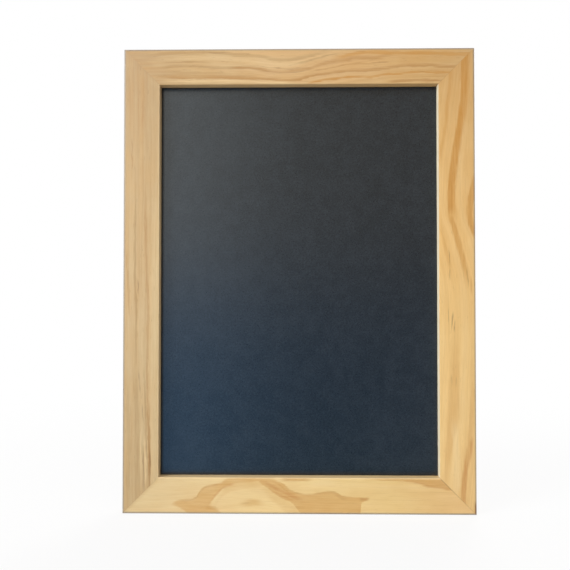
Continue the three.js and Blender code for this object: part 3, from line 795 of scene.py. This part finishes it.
def ringShape():
    size = newShape("D-ring", dRing)
    half, corner, bow = size["Half width"], size["Corner radius"], size["Bow steps"]
    low = scaled(plus(plus(corner, size["Leg"]), half), -1.0)
    butt = scaled(size["Butt gap"], 0.5)
    otherHalf, otherButt = (scaled(value, -1.0) for value in (half, butt))
    places = [(butt, 0.0), (half, 0.0), (half, low), (otherHalf, low), (otherHalf, 0.0), (otherButt, 0.0)]
    radii = [0.0, corner, half, half, corner, 0.0]
    steps = perCorner([1, size["Corner steps"], bow, bow, size["Corner steps"], 1], "INT")
    path = outline([spot(x=x, z=z) for x, z in places], radii, steps, closed=False)
    wire = sweep(merged(path, tight / 2), circle(size["Sides"], size["Wire radius"]))
    tilt = spot(x=calc("RADIANS", size["Tilt"]))
    tilt = add("FunctionNodeEulerToRotation", {0: tilt}).outputs[0]
    return endShape(size, moved(wire, spot(size["Across"], size["Bar"], size["Up"]), tilt), 0.9)


# Straps: the folded plate as it was cut, with its sheared edges eased. Angles in radians.

strap = {"edge": 0.12, "same": 0.002, "flat": 0.02, "sheared": 1.0, "crease": 0.7}


def easedCopy(name, node, material):
    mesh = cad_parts[node].data.copy()
    mesh.name = name
    work = bmesh.new()
    work.from_mesh(mesh)
    bmesh.ops.remove_doubles(work, verts=work.verts, dist=strap["same"] * mm)
    bmesh.ops.dissolve_limit(work, angle_limit=strap["flat"], verts=work.verts, edges=work.edges)
    edges = [edge for edge in work.edges if edge.is_manifold and edge.calc_face_angle() > strap["sheared"]]
    bmesh.ops.bevel(work, geom=edges, offset=strap["edge"] * mm, segments=2, profile=0.6,
                    affect="EDGES", clamp_overlap=True)
    for face in work.faces:
        face.smooth = True
    for edge in work.edges:
        edge.smooth = edge.is_manifold and edge.calc_face_angle() < strap["crease"]
    work.to_mesh(mesh)
    work.free()
    mesh.materials.clear()
    mesh.materials.append(material)
    return newObject(name, mesh)


# Metals: plated or blackened steel, with rolling lines, fine scratches and a few dull spots

rolling = {"x": (0.15, 3.0, 3.0), "z": (3.0, 3.0, 0.15), "none": (1.2, 1.2, 1.2)}
dullSpot = screenColour(74, 66, 58)


def metalFinish(name, light, dull, roughness, along, scratch=0.5, spots=0.3):
    material, surface, axes = newFinish(name)
    rolled = grainNoise(axes, rolling[along], 3, 0.6, 0)
    cloud = grainNoise(axes, (0.45, 0.45, 0.45), 3, 0.55, 5)
    pits = grainNoise(axes, (2.7, 2.7, 2.7), 2, 0.5, 11)
    worn = ease(cloud, 0.45, 0.7)
    colour = tint(worn, screenColour(*light), screenColour(*dull))
    colour = coated(colour, [(ease(pits, 0.62, 0.76), spots, dullSpot)])
    plug(surface.inputs["Base Color"], colour)
    plug(surface.inputs["Metallic"], 1.0)
    rough = scaled(rolled, 0.22, roughness - 0.08)
    plug(surface.inputs["Roughness"], scaled(worn, 0.1, rough))
    bump(surface, scaled(pits, 0.4, rolled), 0.01, scratch)
    return material


nickelStrap = metalFinish("satin nickel strap", (206, 203, 195), (184, 178, 166), 0.34, "z")
nickelWire = metalFinish("bright nickel wire", (214, 211, 204), (192, 187, 176), 0.2, "none", 0.25, 0.2)
zincScrew = metalFinish("zinc plated screw", (196, 199, 203), (168, 170, 172), 0.3, "none", 0.4)
nailSteel = metalFinish("bright V-nail steel", (150, 152, 156), (118, 117, 116), 0.42, "x", 0.6, 0.5)
bluedSteel = metalFinish("blackened point steel", (72, 74, 80), (52, 50, 50), 0.42, "x", 0.6, 0.5)

mitres = ("bottom_left", "bottom_right", "top_left", "top_right")
finishPiece(fromShape("v_nails", nailTree, {}, nailSteel), "frame",
            [mitre + "_v_nail_" + number for mitre in mitres for number in "12"])
held = [side["name"] + "_point_" + number
        for side in rails for number in ("123" if side["upright"] else "12")]
finishPiece(fromShape("framers_points", pointsShape(), {}, bluedSteel), "frame", held)
ringTree = ringShape()
for side, way in (("left", -1), ("right", 1)):
    finishPiece(easedCopy(side + "_strap", side + "_hanger_strap", nickelStrap), "frame",
                [side + "_hanger_strap"])
    finishPiece(fromShape(side + "_ring", ringTree, {"Across": way * dRing["Across"]}, nickelWire),
                "ring_" + side, [side + "_hanger_ring"])
finishPiece(fromShape("screws", screwShape(), {}, zincScrew), "frame",
            ["left_hanger_screw", "right_hanger_screw"])
print("hangers done")


# The chalk panel: a dark satin coating on the front of a hardboard sheet, its back pressed on a screen

panelTone = screenColours({"coat": (19, 29, 37), "haze": (50, 58, 66), "speck": (10, 14, 18),
                            "lip shadow": (30, 22, 12), "board": (142, 104, 70), "fibre": (106, 74, 48)})
panel = {"lip shadow": 1.1, "screen": 5.2, "pressed": (2.8, 2.95), "bare": (0.35, 0.6)}
# Each noise field's runs to the side, back and up, then its detail, roughness and shift
panelFields = {
    "cloud": ((0.012, 0.0, 0.009), 3, 0.5, 3), "wipes": ((0.02, 0.0, 0.11), 3, 0.55, 8),
    "mottle": ((0.13, 0.0, 0.13), 4, 0.75, 35), "grit": ((1.5, 1.5, 1.5), 3, 0.6, 13),
    "fine": ((4.0, 4.0, 4.0), 2, 0.6, 21), "speck": ((0.75, 0.75, 0.75), 2, 0.6, 27),
    "strands": ((1.1, 1.6, 1.1), 4, 0.75, 31)}


def panelFinish():
    material, surface, (x, y, z) = newFinish("chalk panel coating")
    field = {name: grainNoise((x, y, z), *kind) for name, kind in panelFields.items()}
    cloud, speck, strands = field["cloud"], field["speck"], field["strands"]
    haze = scaled(ease(field["wipes"], 0.5, 0.8), 0.06)
    haze = scaled(ease(cloud, 0.3, 0.75), 0.12, haze)
    haze = scaled(ease(field["mottle"], 0.36, 0.66), 0.26, haze)
    # painted shadow along the lips, where they shade the panel's edges
    beside = less(calc("ABSOLUTE", x), sight["width"] / 2 - panel["lip shadow"])
    above = calc("ABSOLUTE", less(z, midHeight))
    above = less(above, sight["height"] / 2 - panel["lip shadow"])
    colour = coated(tint(haze, panelTone["coat"], panelTone["haze"]), [
        (ease(speck, 0.48, 0.7), 0.3, panelTone["haze"]),
        (ease(speck, 0.5, 0.3), 0.35, panelTone["speck"]),
        # painted shadow beside the lips
        (ease(calc("MAXIMUM", beside, above), 0.0, panel["lip shadow"]), 0.5, panelTone["lip shadow"])])
    # hardboard on the edges and the back
    mesh = scaled(*(calc("SINE", scaled(axis, panel["screen"])) for axis in (x, z)))
    pressed = scaled(ease(y, *panel["pressed"]), mesh)
    wood = tint(ease(strands, 0.28, 0.74), panelTone["fibre"], panelTone["board"])
    wood = coated(wood, [(ease(cloud, 0.3, 0.8), 0.3, panelTone["fibre"]),
                         (ease(pressed, 0.1, 0.9), 0.22, panelTone["fibre"])])
    bare = ease(swayed(y, strands, 0.5), *panel["bare"])
    plug(surface.inputs["Base Color"], tint(bare, colour, wood))
    plug(surface.inputs["Specular IOR Level"], swayed(0.5, speck, 0.12, clamp=True))
    rough = scaled(field["grit"], 0.12, 0.23)
    plug(surface.inputs["Roughness"], calc("MAXIMUM", rough, scaled(bare, 0.72)))
    relief = scaled(field["fine"], 0.35, field["grit"])
    bump(surface, scaled(pressed, -2.4, relief), 0.03, 0.55)
    return material


coating = panelFinish()
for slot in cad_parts["chalk_panel"].material_slots:
    slot.material = coating
print("panel done")


# Floor, room light and lamps, in metres

stage = {"floor": 3.0, "drop": 0.0002, "paint": (0.94, 0.94, 0.94, 1), "shadow near": 0.88,
         "shadow": (0.1, 0.7), "ahead": (0.02, -0.02), "ambient": 0.42, "lens": 38.73, "sensor": 36,
         "camera": (-0.0041, -0.4715, 0.1648), "pitch": 0.972, "yaw": 0.78}
lamps = {"key": {"power": 50.0, "size": 1.4, "place": (-2.1, -1.45, 0.75)},
         "fill": {"power": 8.0, "size": 1.6, "place": (0.7, -1.1, 1.9)},
         "back": {"power": 24.0, "size": 1.4, "place": (0.8, 1.9, 0.9)}}
room = {"white": (1, 1, 1, 1), "glow": (2.9, 2.95, 2.8, 1), "low glow": (0.5, 1.3, 2.5, 1),
        "calm": (0.62, 0.44, 0.2, 1), "low calm": (0.0, 0.09, 0.27, 1), "lowest calm": (0.24, 0.45, 0.58, 1),
        "right": (0.8, 0.7, 0.7, 1), "aside": (0.7, 0.74, 0.78, 1)}


def blend(share, under, over):
    return shader("MixShader", {0: share, 1: under, 2: over})


def glowOf(colour, strength=1.0):
    return shader("Background", {"Color": colour, "Strength": strength})


def whiteFloor():
    half = stage["floor"]
    mesh = bpy.data.meshes.new("floor")
    corners = [(-half, -half, 0), (half, -half, 0), (half, half, 0), (-half, half, 0)]
    mesh.from_pydata(corners, [], [(0, 1, 2, 3)])
    mesh.transform(Matrix.Translation((0, 0, -stage["drop"])))
    floor = newObject("floor", mesh)
    material, paint = newMaterial("pale floor")
    plug(paint.inputs["Base Color"], stage["paint"])
    plug(paint.inputs["Roughness"], 0.8)
    plug(paint.inputs["Specular IOR Level"], 0.1)
    rays = add("ShaderNodeLightPath").outputs
    mirrored = calc("MAXIMUM", rays["Is Glossy Ray"], rays["Is Transmission Ray"])
    seen = calc("MAXIMUM", rays["Is Camera Ray"], mirrored)
    white = shader("Emission", {"Strength": 1.0})
    # seen directly it is white, less so near the board, where it keeps the board's shadow
    where = add("ShaderNodeTexCoord").outputs["Object"]
    away = add("ShaderNodeVectorMath", {0: where}, operation="LENGTH").outputs["Value"]
    near = stage["shadow near"]
    share = scaled(ease(away, *stage["shadow"]), 1 - near, near)
    mixed = blend(scaled(seen, share), paint.outputs[0], white)
    # in front of the board a glossy face looks through the floor, into the room's gradient
    ahead = ease(parts(where)[1], *stage["ahead"])
    through = shader("BsdfTransparent")
    mixed = blend(scaled(rays["Is Glossy Ray"], ahead), mixed, through)
    plug(material.node_tree.nodes["Material Output"].inputs[0], mixed)
    mesh.materials.append(material)


def roomLight():
    world = bpy.data.worlds.new("studio")
    scene.world = world
    world.use_nodes = True
    opened["tree"] = world.node_tree
    world.node_tree.nodes.clear()
    rays = add("ShaderNodeLightPath").outputs
    way = parts(add("ShaderNodeTexCoord").outputs["Generated"])
    white = glowOf(room["white"])
    soft = glowOf(room["white"], stage["ambient"])
    # what glossy faces turned to the front see: bright up on the left, darker right, bluish low down
    high = ease(way[2], -0.03, 0.05)
    glow = tint(high, room["low glow"], room["glow"])
    low = tint(ease(way[2], -0.2, -0.32), room["low calm"], room["lowest calm"])
    calm = tint(high, low, room["calm"])
    calm = tint(scaled(ease(way[0], 0.19, 0.3), 0.4), calm, room["right"])
    seen = tint(ease(way[0], -0.05, -0.19), calm, glow)
    # off to the sides and low down the room is a plain grey
    aside = ease(calc("ABSOLUTE", way[0]), 0.25, 0.45)
    aside = calc("MAXIMUM", aside, ease(way[2], -0.36, -0.55))
    front = glowOf(tint(aside, seen, room["aside"]))
    mirror = blend(ease(way[1], -0.25, 0.1), front, white)
    bright = calc("MAXIMUM", rays["Is Glossy Ray"], rays["Is Transmission Ray"])
    shown = blend(rays["Is Camera Ray"], blend(bright, soft, mirror), white)
    add("ShaderNodeOutputWorld", {0: shown})


def softLamp(name, power, size, place):
    light = bpy.data.lights.new(name, "AREA")
    light.shape = "DISK"
    light.energy = power
    light.size = size
    lamp = newObject(name, light)
    lamp.location = Vector(place) + Vector((0, 0, midHeight * mm))
    lamp.rotation_euler = (-Vector(place)).to_track_quat("-Z", "Y").to_euler()


whiteFloor()
roomLight()
for name, lamp in lamps.items():
    softLamp(name, **lamp)

camera = newObject("camera", bpy.data.cameras.new("camera"))
camera.data.lens = stage["lens"]
camera.data.sensor_width = stage["sensor"]
camera.location = stage["camera"]
camera.rotation_euler = (quarter + math.radians(stage["pitch"]), 0, math.radians(stage["yaw"]))
bpy.context.scene.camera = camera
print("stage done")
